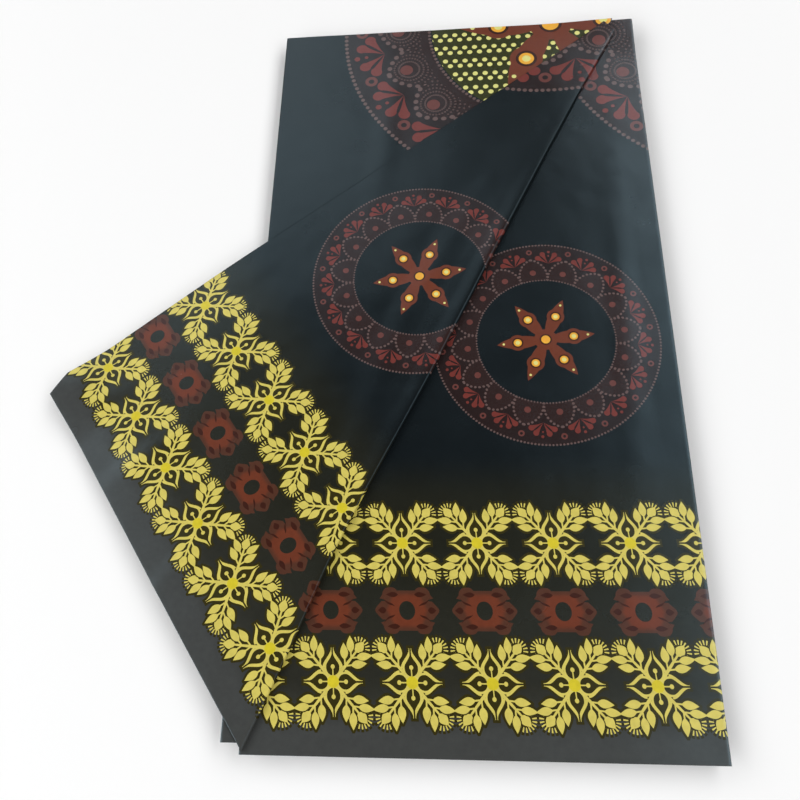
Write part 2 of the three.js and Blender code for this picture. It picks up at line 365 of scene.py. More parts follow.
def write_print(mesh, piece):
    """Gives each face corner its place on the cloth's print, from its flat place in the plan."""
    layout = PRINTS[piece]
    repeat = bpy.context.scene.cloth_sizes.repeat / MM
    for name in ("border", "medallion"):
        mesh.loops.layers.uv.new(name)
    border, medallion = (mesh.loops.layers.uv[name] for name in ("border", "medallion"))
    turn = math.radians(layout["turn"])
    along = Vector((math.cos(turn), math.sin(turn)))
    inwards = Vector((-along.y, along.x))
    if layout["turn"] > 90:
        inwards.negate()
    spin = Matrix.Rotation(math.radians(layout["spin"]), 2)
    for face in mesh.faces:
        middle = (face.calc_center_median().xy - Vector(layout["origin"])).dot(inwards)
        kind = layout["large"] if middle > LARGE_MEDALLION_FROM * repeat else layout["small"]
        for corner in face.loops:
            flat = corner.vert.co.xy
            place = (flat - Vector(layout["origin"])) / repeat
            depth = place.dot(inwards)
            reach = place.dot(along) + layout["phase"] + layout["skew"] * (depth - 1)
            corner[border].uv = (reach, depth)
            from_centre = (flat - Vector(kind[:2])) / (kind[2] * repeat)
            place = Vector((from_centre.dot(along), from_centre.dot(inwards)))
            corner[medallion].uv = place @ spin


def write_wear(mesh):
    """Marks the crease of the fold, where the cloth has lost its sheen."""
    wear = mesh.verts.layers.float.new("wear")
    for vert in mesh.verts:
        start = vert.co.xy - FOLD_START
        along = start.dot(FOLD_CHORD)
        past = start.dot(FOLD_SIDE) - fold_at(along)[0]
        fade = ease((WEAR_END - along) / WEAR_FADE)
        vert[wear] = MOST_WEAR * fade * (1 - ease(past / WEAR_REACH))


def flat_area(mesh):
    """The area in square metres of a mesh that is laid flat."""
    return sum(face.calc_area() for face in mesh.faces) * MM * MM


def finish_piece(mesh, name, node, surface):
    """Turns a mesh in the plan's millimetres into a finished object in the frame."""
    bmesh.ops.transform(
        mesh, verts=mesh.verts,
        matrix=Matrix.Translation(PLAN_ORIGIN) @ Matrix.Scale(MM, 4))
    data = bpy.data.meshes.new(name)
    mesh.to_mesh(data)
    mesh.free()
    data.shade_smooth()
    data.materials.append(surface)
    piece = bpy.data.objects.new(name, data)
    bpy.context.collection.objects.link(piece)
    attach(piece, "root")
    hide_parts(node)
    return piece


def thicken(piece, thickness):
    """Gives a cloth its thickness, on both sides of its middle surface."""
    wall = piece.modifiers.new("Ply", "SOLIDIFY")
    wall.thickness = thickness
    wall.offset = 0


# The print, painted by shader nodes.

class Value:
    """A number carried by a shader socket, so that sums on it read as plain Python."""

    def __init__(self, paint, socket):
        self.paint = paint
        self.socket = socket

    def __add__(self, other):
        return self.paint.math("ADD", self, other)

    def __sub__(self, other):
        return self.paint.math("SUBTRACT", self, other)

    def __mul__(self, other):
        return self.paint.math("MULTIPLY", self, other)

    def __truediv__(self, other):
        return self.paint.math("DIVIDE", self, other)

    def __pow__(self, other):
        return self.paint.math("POWER", self, other)

    def __rsub__(self, other):
        return self.paint.math("SUBTRACT", other, self)

    def __rtruediv__(self, other):
        return self.paint.math("DIVIDE", other, self)

    def __neg__(self):
        return self.paint.math("MULTIPLY", self, -1)

    def __abs__(self):
        return self.paint.math("ABSOLUTE", self)

    def __gt__(self, other):
        return self.paint.math("GREATER_THAN", self, other)

    def __lt__(self, other):
        return self.paint.math("LESS_THAN", self, other)

    __radd__ = __add__
    __rmul__ = __mul__


class Paint:
    """The node tree of one material, with a short way to add to it."""

    def __init__(self, name):
        self.material = bpy.data.materials.new(name)
        self.material.use_nodes = True
        self.tree = self.material.node_tree
        self.shader = self.tree.nodes["Principled BSDF"]

    def node(self, kind, settings=None, inputs=None, output=0):
        """Adds a node: its settings first, then the values or links of its sockets."""
        added = self.tree.nodes.new(kind)
        for name, value in (settings or {}).items():
            setattr(added, name, value)
        self.fill(added, inputs or {})
        return Value(self, added.outputs[output])

    def fill(self, node, inputs):
        """Gives a node's sockets their values or links."""
        for name, value in inputs.items():
            socket = node.inputs[name]
            if isinstance(value, Value):
                self.tree.links.new(value.socket, socket)
            else:
                socket.default_value = (*value, 1) if socket.type == "RGBA" else value

    def math(self, operation, *values):
        return self.node("ShaderNodeMath", {"operation": operation}, dict(enumerate(values)))

    def larger(self, first, *others):
        """The largest of several values, which is the union of shapes."""
        for other in others:
            first = self.math("MAXIMUM", first, other)
        return first

    def smaller(self, first, *others):
        """The smallest of several values, which is what shapes have in common."""
        for other in others:
            first = self.math("MINIMUM", first, other)
        return first

    def distance(self, x, y):
        """How far a place is from the origin."""
        return self.math("SQRT", self.math("MULTIPLY_ADD", x, x, y * y))

    def slanted(self, x, y, angle, offset=0):
        """How far a place lies along a direction."""
        rise = self.math("MULTIPLY_ADD", y, math.sin(angle), offset)
        return self.math("MULTIPLY_ADD", x, math.cos(angle), rise)

    def over(self, below, above, mask):
        """One colour laid over another where the mask is 1."""
        return self.node(
            "ShaderNodeMix", {"data_type": "RGBA", "clamp_factor": True},
            {"Factor": mask, 6: below, 7: above}, output=2)

    def ramp(self, value, start, end, low=0, high=1):
        """A smooth step from low to high while the value goes from start to end."""
        return self.node(
            "ShaderNodeMapRange", {"interpolation_type": "SMOOTHSTEP"},
            {"Value": value, "From Min": start, "From Max": end, "To Min": low, "To Max": high})

    def uv(self, layer):
        """The two values of a UV map."""
        place = self.node("ShaderNodeUVMap", {"uv_map": layer})
        parts = self.node("ShaderNodeSeparateXYZ", inputs={"Vector": place})
        return parts, Value(self, parts.socket.node.outputs["Y"])

    def noise(self, vector, scale, detail=2):
        return self.node(
            "ShaderNodeTexNoise", inputs={"Vector": vector, "Scale": scale, "Detail": detail})


def shade(colour, share):
    """A colour made darker or lighter."""
    return [part * share for part in colour]


def ink_colours():
    """The print's colours as plain lists, each under its name."""
    chosen = bpy.context.scene.print_colours
    return SimpleNamespace(**{name: list(getattr(chosen, name)) for name in INK_NAMES})


# Shapes of the print. Each gives a number that is above 0 inside the shape, in border
# repeats or in the medallion's own measure, so that the largest of several is their union.

def disc(paint, x, y, radius):
    return radius - paint.distance(x, y)


def leaf(paint, x, y, centre, angle, half_length, widest, tail=0):
    """A leaf that is broad towards its base, with a thin stem of some length behind it."""
    turn = math.radians(angle)
    along = paint.slanted(
        x, y, turn, -(centre[0] * math.cos(turn) + centre[1] * math.sin(turn)))
    across = paint.slanted(
        x, y, turn + math.pi / 2, centre[0] * math.sin(turn) - centre[1] * math.cos(turn))
    width = paint.math("MULTIPLY_ADD", along * along, -widest / half_length ** 2, widest)
    width = width * paint.math("MULTIPLY_ADD", along, -0.35 / half_length, 1)
    shape = paint.smaller(width - abs(across), half_length - along)
    if not tail:
        return shape
    stem = paint.smaller(STEM_WIDTH - abs(across), along + (half_length + tail), -along)
    return paint.larger(shape, stem)


def bulb(paint, along, across, centre, half_length, widest):
    """A pointed oval that lies along an axis."""
    from_centre = along - centre
    width = paint.math(
        "MULTIPLY_ADD", from_centre * from_centre, -widest / half_length ** 2, widest)
    return width - across


def fringed_tip(paint, along, across):
    """The tip of a leafy arm: a broad leaf with a fringe of fine lines round its end."""
    body = leaf(paint, along, across, (0.548, 0), 0, 0.085, 0.058)
    out = along - 0.525
    length = paint.distance(out, across)
    spread = paint.math("ARCTAN2", across, out)
    tooth = paint.math("COSINE", spread * 19) - 0.25
    fringe = paint.smaller(0.145 - length, length - 0.088, tooth * 0.05, (1.42 - spread) * 0.1)
    return paint.larger(body, fringe)


def border_flower(paint, x, y):
    """A four-armed leafy flower about the origin: its yellow, its middle and all it covers."""
    ax, ay = abs(x), abs(y)
    arm_turn = math.radians(ARM_ANGLE)
    along = paint.slanted(ax, ay, arm_turn)
    across = abs(paint.slanted(ax, ay, arm_turn + math.pi / 2))
    stem = paint.smaller(paint.math("MULTIPLY_ADD", along, -0.03, 0.026) - across, 0.52 - along)
    near_leaf = leaf(paint, along, across, (0.378, 0.122), 43, 0.103, 0.049, 0.06)
    far_leaf = leaf(paint, along, across, (0.498, 0.114), 42, 0.105, 0.047, 0.05)
    tip = paint.smaller(fringed_tip(paint, along, across), -0.014 - far_leaf)
    arm = paint.larger(stem, near_leaf, far_leaf, tip)

    # Four petals, each a pair of curved prongs about a dark drop with a spoke in it.
    wide = ax * PETAL_STRETCH
    long_way, short_way = paint.larger(wide, ay), paint.smaller(wide, ay)
    outside = paint.ramp(long_way, 0.17, 0.4, 0.142, 0.018) - short_way
    gap = paint.ramp(long_way, 0.18, 0.335, 0.092, 0.011) - short_way
    petals = paint.larger(
        paint.smaller(outside, 0.41 - long_way, long_way - 0.165),
        disc(paint, long_way - 0.165, short_way, 0.118),
    )
    dark = paint.larger(
        disc(paint, long_way - 0.165, short_way, 0.092),
        paint.smaller(gap, long_way - 0.165),
    )
    spoke = paint.larger(
        paint.smaller(0.008 - short_way, 0.18 - long_way),
        disc(paint, long_way - 0.178, short_way, 0.028),
    )
    middle = disc(paint, ax, ay, 0.074)
    whole = paint.larger(arm, petals)
    yellow = paint.larger(paint.smaller(whole, -dark), spoke, middle)
    return yellow, middle, whole


def red_motif(paint, x, y):
    """A motif of six lobes round an oval hole: its body, its lobes, its hole and its veins."""
    ax, ay = abs(x), abs(y)
    body = paint.smaller(0.252 - ay, paint.math("MULTIPLY_ADD", ay, -0.45, 0.31) - ax)
    lobes = paint.larger(
        paint.smaller(
            leaf(paint, ax, ay, (0.27, 0), 0, 0.16, 0.15),
            paint.math("MULTIPLY_ADD", ay, -0.35, 0.418) - ax),
        disc(paint, ax - 0.225, ay - 0.2, 0.088),
        leaf(paint, ax, ay, (0.265, 0.18), -20, 0.09, 0.05),
        leaf(paint, ax, ay, (0.19, 0.25), 20, 0.09, 0.045),
    )
    notch = paint.larger(
        leaf(paint, ax, ay, (0.345, 0.135), 12, 0.07, 0.014),
        disc(paint, ax, ay - 0.4, 0.147),
    )
    hole = 1 - (ax / 0.103) ** 2 - (ay / 0.118) ** 2
    bend = paint.math("MULTIPLY_ADD", paint.math("SINE", ax * 30), 0.014, ay)
    veins = paint.larger(
        leaf(paint, ax, ay, (0.325, 0), 0, 0.055, 0.04),
        leaf(paint, ax, bend, (0.235, 0.1), 38, 0.1, 0.011),
        leaf(paint, ax, ay, (0.185, 0.2), 0, 0.08, 0.032),
    )
    return paint.smaller(paint.larger(body, lobes), -notch), body, hole, veins


def paint_border(paint, colours, colour, reach, depth):
    """Two rows of yellow flowers with a row of red-brown motifs between them."""
    x = paint.math("FRACT", reach) - 0.5
    from_middle = depth - FLOWER_ROW
    y = abs(from_middle) - FLOWER_ROW_APART
    inside = (depth < BORDER_TO) * (depth > BORDER_FROM)
    yellow, middle, whole = border_flower(paint, x, y)
    red, body, hole, veins = red_motif(paint, x, from_middle)
    fade = paint.ramp(depth, 3.1, 3.9, 0.3, 0)
    colour = paint.over(colour, colours.olive, fade * paint.ramp(depth, 0.25, 0.7))
    colour = paint.over(colour, colours.olive, (whole > -OLIVE_RIM) * inside)
    colour = paint.over(colour, colours.yellow, (yellow > 0) * inside)
    colour = paint.over(colour, colours.bright, (middle > 0) * inside)
    motif = (red > 0) * (hole < 0) * inside
    brown = [part * share for part, share in zip(colours.red, (0.55, 0.85, 1.1))]
    colour = paint.over(colour, brown, motif)
    colour = paint.over(colour, colours.red, motif * paint.ramp(body, 0.01, 0.09))
    return paint.over(colour, shade(colours.red, 0.3), motif * (veins > 0))


def dotted_ring(paint, cell, per_cell, radius, from_centre, cell_angle, size):
    """A circle of small dots."""
    step = paint.math("FRACT", cell * per_cell) - 0.5
    return disc(paint, step * (cell_angle * radius / per_cell), from_centre - radius, size)


def paint_scallops(paint, colours, colour, out, across, cell_width, in_ring, large):
    """Dotted pointed arches about a disc, with finer rows of dots in the large ring."""
    beside = abs(across) * cell_width
    arch_x = (beside + ARCH_POINT) / (ARCH_POINT + ARCH_HALF_WIDTH)
    arch_y = (out - 0.15) / (ARCH_POINT + ARCH_HALF_WIDTH)
    arch = paint.distance(arch_x, arch_y)
    arch_turn = paint.math("ARCTAN2", arch_x, arch_y)
    colour = paint.over(colour, shade(colours.tint, 1.4), (arch < 1) * in_ring)
    arch_dots = disc(
        paint, (paint.math("FRACT", arch_turn * 5) - 0.5) * 0.09, (arch - 1) * 0.45, 0.029)
    around = paint.distance(beside, out - 0.34)
    fine_rows = (paint.math("FRACT", (around - 0.095) / 0.05) - 0.5) * 0.05
    fine_turn = paint.math("ARCTAN2", beside, out - 0.34)
    fine_dots = disc(
        paint, (paint.math("FRACT", fine_turn * 5) - 0.5) * (around / 5), fine_rows, 0.012)
    fine = (fine_dots > 0) * (around > 0.1) * (arch < 0.9) * (out > 0.1) * large * 0.6
    colour = paint.over(colour, colours.dots, paint.larger(arch_dots > 0, fine) * in_ring)
    centre_disc = disc(paint, beside, out - paint.math("MULTIPLY_ADD", large, 0.15, 0.22), 0.074)
    ring = 0.02 - abs(paint.distance(beside, out - 0.8) - 0.052)
    return paint.over(colour, colours.disc, (paint.larger(centre_disc, ring) > 0) * in_ring)


def fans(paint, out, across, cell_width, large):
    """Fans of four petals, rounded at the tip, with small discs between them."""
    beside = (0.5 - abs(across)) * cell_width
    out_from_foot = out - paint.math("MULTIPLY_ADD", large, 0.08, 0.47)
    length = paint.distance(beside, out_from_foot)
    turn = paint.math("ARCTAN2", beside, out_from_foot)
    petal_across = abs(abs(turn - 0.77) - 0.255) * length
    petal = paint.larger(
        paint.smaller(
            length * paint.math("MULTIPLY_ADD", length, 0.4, 0.085) - petal_across,
            0.3 - length),
        disc(paint, petal_across, length - 0.3, 0.064),
    )
    return paint.larger(
        petal,
        disc(paint, beside, out_from_foot - 0.33, 0.034),
        disc(paint, beside, out_from_foot - 0.22, 0.022),
    )


def dotted_field(paint, x, y):
    """Pairs of rows of dots, each row half a step from the next."""
    dot_x = paint.math("MULTIPLY_ADD", x, LARGE_RADIUS / DOTS_APART, 0.874)
    dot_y = paint.math("MULTIPLY_ADD", y, LARGE_RADIUS / DOT_ROWS_APART, 0.155)
    row = paint.math("FRACT", dot_y) - 0.5
    side = row > 0
    column = paint.math("FRACT", dot_x + side * 0.5) - 0.5
    return disc(paint, column * DOTS_APART, (abs(row) - 0.186) * DOT_ROWS_APART, 0.046)


def paint_rosette(paint, colours, colour, from_centre, angle):
    """A plain rosette: six leaves, each with a ringed disc."""
    petal_cell = paint.math("FRACT", angle * (6 / math.tau) + 0.5) - 0.5
    petal_angle = abs(petal_cell) * (math.tau / 6)
    petal_x = from_centre * paint.math("COSINE", petal_angle)
    petal_y = from_centre * paint.math("SINE", petal_angle)
    petals = paint.larger(
        bulb(paint, petal_x, petal_y, 0.22, 0.215, 0.062),
        disc(paint, petal_x - 0.25, petal_y, 0.078),
        disc(paint, petal_x - 0.02, petal_y, 0.085),
    )
    colour = paint.over(colour, colours.red, petals > 0)
    discs = paint.larger(
        disc(paint, petal_x - 0.25, petal_y, 0.036),
        disc(paint, petal_x, petal_y, 0.04),
    )
    colour = paint.over(colour, shade(colours.red, 0.3), discs > -0.014)
    colour = paint.over(colour, colours.orange, discs > 0)
    spark = paint.larger(
        disc(paint, petal_x - 0.25, petal_y, 0.02),
        disc(paint, petal_x - 0.375, petal_y, 0.011),
    )
    return paint.over(colour, colours.pale, spark > 0)


def paint_medallion(paint, colours, colour, x, y, large):
    """A ring of scallops and fans between two dotted circles, with a rosette inside it."""
    from_centre = paint.distance(x, y)
    angle = paint.math("ARCTAN2", y, x)
    count = paint.math("MULTIPLY_ADD", large, 2, 16)
    inner = paint.math("MULTIPLY_ADD", large, -0.028, 0.614)
    cell_angle = math.tau / count
    cell = angle / cell_angle
    across = paint.math("FRACT", cell + 0.5) - 0.5
    band = 1 - inner
    out = (from_centre - inner) / band
    cell_width = cell_angle * from_centre / band
    in_ring = (from_centre < 1) * (from_centre > inner)
    colour = paint.over(colour, colours.tint, in_ring)
    colour = paint_scallops(paint, colours, colour, out, across, cell_width, in_ring, large)
    fan = fans(paint, out, across, cell_width, large)
    colour = paint.over(colour, colours.fan, (fan > 0) * in_ring)
    rim = paint.larger(
        dotted_ring(paint, cell, 13, 0.995, from_centre, cell_angle, 0.0095),
        dotted_ring(paint, cell, 9, inner, from_centre, cell_angle, 0.008),
    )
    colour = paint.over(colour, colours.dots, rim > 0)

    # Only the large medallion has the olive field inside its ring.
    inside = (from_centre < inner - 0.012) * large
    colour = paint.over(colour, colours.field, inside)
    colour = paint.over(colour, colours.pale, (dotted_field(paint, x, y) > 0) * inside)
    return paint_rosette(paint, colours, colour, from_centre, angle)


def paint_ground(paint, colours, threads, depth):
    """The dark ground, a little cloudy, and grey along the selvedge."""
    cloudy = paint.noise(threads, 18, 3)
    ground = paint.over(
        colours.ground, shade(colours.ground, 1.7), paint.ramp(cloudy, 0.25, 0.85))
    strip = paint.ramp(depth, SELVEDGE_STRIP, STRIP_END, 0.72, 0)
    fading = paint.ramp(depth, STRIP_END, GREY_END, 0.28, 0)
    return paint.over(ground, colours.selvedge, strip + fading)


def weave_bump(paint, threads, reach, depth):
    """The rounding of each thread, over and under the next, on softly dented cloth."""
    sizes = bpy.context.scene.cloth_sizes
    threads_per_repeat = 2 * sizes.repeat / sizes.weave
    warp, weft = reach * threads_per_repeat, depth * threads_per_repeat
    threads_crossed = paint.math("FLOOR", warp) + paint.math("FLOOR", weft)
    over_weft = abs(paint.math("MODULO", threads_crossed, 2))
    from_warp = paint.math("FRACT", warp) - 0.5
    from_weft = paint.math("FRACT", weft) - 0.5
    rounding = from_warp * from_warp * over_weft + from_weft * from_weft * (1 - over_weft)
    dents = paint.noise(threads, 34, 1)
    height = dents * DENT_DEPTH - rounding * (THREAD_ROUNDING * sizes.weave / 2)
    return paint.node("ShaderNodeBump", inputs={"Height": height, "Strength": 1.0, "Distance": 1.0})


def printed_cotton():
    """Dark cotton with a waxed face: its print, its weave, and a low uneven sheen."""
    paint = Paint("Printed cotton")
    colours = ink_colours()
    reach, depth = paint.uv("border")
    x, y = paint.uv("medallion")
    threads = paint.node("ShaderNodeTexCoord", output=3)
    colour = paint_ground(paint, colours, threads, depth)
    colour = paint_medallion(paint, colours, colour, x, y, depth > LARGE_MEDALLION_FROM)
    colour = paint_border(paint, colours, colour, reach, depth)
    uneven_ink = paint.math("MULTIPLY_ADD", paint.noise(threads, 260, 2), 0.3, 0.85)
    colour = paint.node(
        "ShaderNodeHueSaturation", inputs={"Color": colour, "Value": uneven_ink})
    bump = weave_bump(paint, threads, reach, depth)
    gloss = paint.math("MULTIPLY_ADD", paint.noise(threads, 30, 3), 0.08, 0.22)
    paint.fill(paint.shader, {
        "Base Color": colour, "Roughness": gloss, "Normal": bump,
        "Specular IOR Level": 0.72, "Specular Tint": (0.58, 0.85, 1)})

    # The crease of the fold has lost its sheen.
    worn = paint.node(
        "ShaderNodeBsdfPrincipled", inputs={
            "Base Color": colour, "Roughness": 0.9, "Specular IOR Level": 0.05, "Normal": bump})
    wear = paint.node("ShaderNodeAttribute", {"attribute_name": "wear"}, output=2)
    waxed = Value(paint, paint.shader.outputs[0])
    mixed = paint.node("ShaderNodeMixShader", inputs={0: wear, 1: waxed, 2: worn})
    paint.fill(paint.tree.nodes["Material Output"], {"Surface": mixed})
    return paint.material


def fold_edge_cotton():
    """The dark edges of many plies, a little dusty where they bend."""
    paint = Paint("Fold edges")
    place = paint.node("ShaderNodeTexCoord", output=3)
    cloudy = paint.noise(place, 60, 3)
    ground = ink_colours().ground
    colour = paint.over(ground, shade(ground, 3), cloudy)
    bump = paint.node(
        "ShaderNodeBump", inputs={
            "Height": paint.noise(place, 900, 2) * 0.0002, "Strength": 0.5, "Distance": 1.0})
    paint.fill(paint.shader, {
        "Base Color": colour, "Normal": bump,
        "Roughness": paint.math("MULTIPLY_ADD", cloudy, 0.2, 0.5)})
    return paint.material


def material(name, make):
    """A material of that name, made the first time that it is asked for."""
    return bpy.data.materials.get(name) or make()


# The pieces.

def places(low, high, count):
    """Places from low to high, close together at both ends."""
    reach = EDGE_STEPS[-1]
    middle = [lerp(low + reach, high - reach, i / count) for i in range(1, count)]
    return [low + s for s in EDGE_STEPS] + middle + [high - s for s in reversed(EDGE_STEPS)]


def uneven(x, y, size, seed=0):
    """A smooth unevenness from about -1 to 1."""
    return noise.noise(Vector((x / size, y / size, seed * 7.3)))


def leaf_relief(x, y):
    """Ridges of the leaves and the soft waviness of cloth that lies on cloth."""
    return ridge_height(LEAF_RIDGES, x, y) + WAVE_HEIGHT * uneven(x, y, WAVE_SIZE)


def place_by(mesh, columns, rows, place):
    """Moves a grid's vertices to where place puts each column and row."""
    for vert in mesh.verts:
        column = columns[round(vert.co.x * (len(columns) - 1))]
        row = rows[round(vert.co.y * (len(rows) - 1))]
        vert.co = place(column, row)


def doubled_leaf(name, left, right, near, far, z):
    """A leaf of two plies, joined at the far end where the cloth is folded along its middle."""
    bend = (WALL - bpy.context.scene.cloth_sizes.ply / MM) / 2
    turn_start = far - bend
    turn_end = turn_start + bend * math.pi
    upper = places(near, turn_start, LEAF_DOWN)
    arc = [lerp(turn_start, turn_end, i / TURN_STEPS) for i in range(1, TURN_STEPS)]
    lower = [turn_end + turn_start - y for y in reversed(upper)]
    columns = places(0, FAR_WIDTH, LEAF_ACROSS)

    def folded(row):
        """The y, and the height above the leaf's middle, of a row of the flat cloth."""
        if row <= turn_start:
            return row, bend
        if row >= turn_end:
            return turn_start + turn_end - row, -bend
        turn = (row - turn_start) / bend
        return turn_start + bend * math.sin(turn), bend * math.cos(turn)

    def laid_flat(column, row):
        y = folded(row)[0]
        return Vector((lerp(left(y), right(y), column / FAR_WIDTH), row, 0))

    rows = upper + arc + lower
    mesh = grid(len(columns) - 1, len(rows) - 1)
    place_by(mesh, columns, rows, laid_flat)
    write_print(mesh, name)
    area = flat_area(mesh)
    for vert in mesh.verts:
        x = vert.co.x
        y, height = folded(vert.co.y)
        from_edge = max(0, min(x - left(y), right(y) - x))
        drop = EDGE_DROP * (1 - min(1, from_edge / EDGE_REACH)) ** 2
        vert.co = Vector((x, y, z + WALL / 2 + height - drop + leaf_relief(x, y)))
    return mesh, area


def flap_height(x, y):
    """The height that the flap lies at: on the stack, or on the surface beside it."""
    beside = -half_width(y) - DRAPE_START - x
    on_stack = 1 - ease(beside / DRAPE_RUN)
    return on_stack * (FLAP_Z + leaf_relief(x, y)) + ridge_height(FLAP_RIDGES, x, y)


def roll_over(flat):
    """Takes a place on the flat flap, laid out past the fold, to its place in the round."""
    start = flat - FOLD_START
    along = start.dot(FOLD_CHORD)
    bow, radius, lift = fold_at(along)
    past = start.dot(FOLD_SIDE) - bow
    quarter = radius * math.pi / 2
    turn = min(math.pi / 2, max(-math.pi / 2, past / radius))
    inward = radius * (1 - math.cos(turn)) + max(0, abs(past) - quarter)
    place = FOLD_START + FOLD_CHORD * along + FOLD_SIDE * (bow + inward)
    lip_height = TOP_LEAF_Z + WALL / 2 + leaf_relief(place.x, place.y)
    rolled = lip_height + radius * (1 + math.sin(turn))
    lying = flap_height(place.x, place.y) + WALL / 2
    curl = CURL_HEIGHT * ease(1 - (place - FLAP_CORNER).length / CURL_REACH)
    lifted = lift * ease(1 - (past - quarter) / LIFT_SPREAD)
    height = lerp(rolled, lying, ease((past - quarter) / ROLL_SPREAD)) + curl + lifted
    return Vector((place.x, place.y, height))


def flat_flap():
    """The flap laid out flat past the fold and cut to its outline."""
    columns = [lerp(FLAP_FROM, FLAP_TO, i / FLAP_ALONG) for i in range(FLAP_ALONG + 1)]
    rolled = [lerp(-1, 1, i / ROLL_STEPS) for i in range(ROLL_STEPS + 1)]
    graded = [
        1 + FLAP_REACH * math.sinh(FLAP_GRADING * i / FLAP_ACROSS) / math.sinh(FLAP_GRADING)
        for i in range(1, FLAP_ACROSS + 1)]

    def laid_flat(along, row):
        """Rows from -2 to -1 are the lip, to 1 the roll, and past that a millimetre each."""
        bow, radius, _ = fold_at(along)
        quarter = radius * math.pi / 2
        if row < -1:
            past = (row + 1) * (lip_at(along) - radius) - quarter
        elif row <= 1:
            past = row * quarter
        else:
            past = quarter + row - 1
        return (FOLD_START + FOLD_CHORD * along + FOLD_SIDE * (bow + past)).to_3d()

    rows = [*LIP_ROWS, *rolled, *graded]
    mesh = grid(len(columns) - 1, len(rows) - 1)
    place_by(mesh, columns, rows, laid_flat)
    cut_flap(mesh)
    return mesh


def cut_flap(mesh):
    """Cuts the flat flap to its selvedge, its depth, its cut end and its blunt corner."""
    selvedge = (FLAP_CORNER - FOLD_START).normalized()
    inwards = Vector((selvedge.y, -selvedge.x))
    cut_end = (FLAP_CUT_END - FLAP_CORNER).normalized()
    blunt_start = FLAP_CORNER + cut_end * BLUNT_ALONG_CUT_END
    blunt = (blunt_start - FLAP_CORNER + selvedge * BLUNT_ALONG_SELVEDGE).normalized()
    for place, outwards in (
        (FOLD_START, -inwards),
        (FOLD_START + inwards * FLAP_DEPTH, inwards),
        (FLAP_CORNER, Vector((-cut_end.y, cut_end.x))),
        (blunt_start, Vector((-blunt.y, blunt.x))),
    ):
        for margin in (RIM, 0):
            bmesh.ops.bisect_plane(
                mesh, geom=mesh.verts[:] + mesh.edges[:] + mesh.faces[:], dist=0.0001,
                plane_co=(place - outwards * margin).to_3d(), plane_no=outwards.to_3d(),
                clear_outer=margin == 0)
    bmesh.ops.remove_doubles(mesh, verts=mesh.verts, dist=0.05)


def drawn_in(x, y, leaf, nose):
    """Where a place on the stack's outline lies for one hidden leaf."""
    side = 1 if x > 0 else -1
    end = 1 if y > LENGTH / 2 else -1
    slack = (
        SLACK + SIDE_SLACK["by_leaf"] * uneven(side * 9, leaf * 3.7, 1.3)
        + SIDE_SLACK["along"] * uneven(y, leaf * 60, SIDE_SLACK["wave"], side))
    end_slack = (
        SLACK + END_SLACK["by_leaf"] * uneven(end * 5, leaf * 2.9, 1.7)
        + END_SLACK["along"] * uneven(x, leaf * 60, END_SLACK["wave"], end))
    share_x = abs(x) / half_width(y)
    share_y = abs(y - LENGTH / 2) / (LENGTH / 2)
    step = LOWER_LEAF_STEP * ease(1 - y / STEP_LENGTH) * share_x if x < 0 else 0
    return (
        x + step - side * (max(0, slack) + nose) * share_x ** 3,
        y - end * (max(0, end_slack) + nose) * share_y ** 3,
    )


class CLOTH_OT_hidden_folds(bpy.types.Operator):
    """Adds the folds under the leaves that show, as one stack with a rounded nose to each"""

    bl_idname = "cloth.hidden_folds"
    bl_label = "Hidden folds"

    def execute(self, context):
        count = context.scene.cloth_sizes.hidden_leaves
        leaf_height = HIDDEN_HEIGHT / count
        mesh = grid(1, 1)
        for vert in mesh.verts:
            y = vert.co.y * LENGTH
            vert.co = Vector(((vert.co.x * 2 - 1) * half_width(y), y, 0))
        bmesh.ops.bevel(
            mesh, geom=mesh.verts[:], affect="VERTICES", offset=HIDDEN_CORNER, segments=5,
            profile=0.5, material=-1)
        sides = [edge for edge in mesh.edges if edge.calc_length() > 2 * HIDDEN_CORNER]
        bmesh.ops.subdivide_edges(mesh, edges=sides, cuts=SIDE_CUTS)
        mesh.faces.ensure_lookup_table()
        top = mesh.faces[0]
        for rise in NOSE_LEVELS * count:
            raised = bmesh.ops.extrude_face_region(mesh, geom=[top])["geom"]
            top = next(item for item in raised if isinstance(item, bmesh.types.BMFace))
            bmesh.ops.translate(mesh, verts=top.verts, vec=(0, 0, rise * leaf_height))
        for vert in mesh.verts:
            level = vert.co.z / leaf_height
            leaf = min(count - 1, int(level + 0.01))
            nose = 0 if 0.2 < level - leaf < 0.8 else NOSE_DEPTH
            vert.co.xy = drawn_in(vert.co.x, vert.co.y, leaf, nose)
        bmesh.ops.recalc_face_normals(mesh, faces=mesh.faces)
        finish_piece(
            mesh, "Hidden_folds", "hidden_folds",
            material("Fold edges", fold_edge_cotton))
        return {"FINISHED"}


class CLOTH_OT_leaves(bpy.types.Operator):
    """Adds the lower leaf and the leaf on it that ends at the turned fold"""

    bl_idname = "cloth.leaves"
    bl_label = "Leaves"

    def execute(self, context):
        cotton = material("Printed cotton", printed_cotton)

        def stepped(y):
            return LOWER_LEAF_STEP * (1 - ease(y / STEP_LENGTH)) - half_width(y)

        def proud(y):
            return -half_width(y) - TOP_LEAF_PROUD

        def beside_roll(y):
            return beside_fold(y, lip_at((y - FOLD_START.y) / FOLD_CHORD.y) + GAP)

        for name, label, left, right, near, far, z in (
            ("lower_leaf", "Lower_leaf", stepped, half_width, 0, LENGTH, LOWER_LEAF_Z),
            ("top_leaf", "Top_leaf", proud, beside_roll, TOP_LEAF_STEP,
             LENGTH + TOP_LEAF_PROUD, TOP_LEAF_Z),
        ):
            mesh, area = doubled_leaf(name, left, right, near, far, z)
            leaf = finish_piece(mesh, label, name, cotton)
            thicken(leaf, context.scene.cloth_sizes.ply)
        return {"FINISHED"}


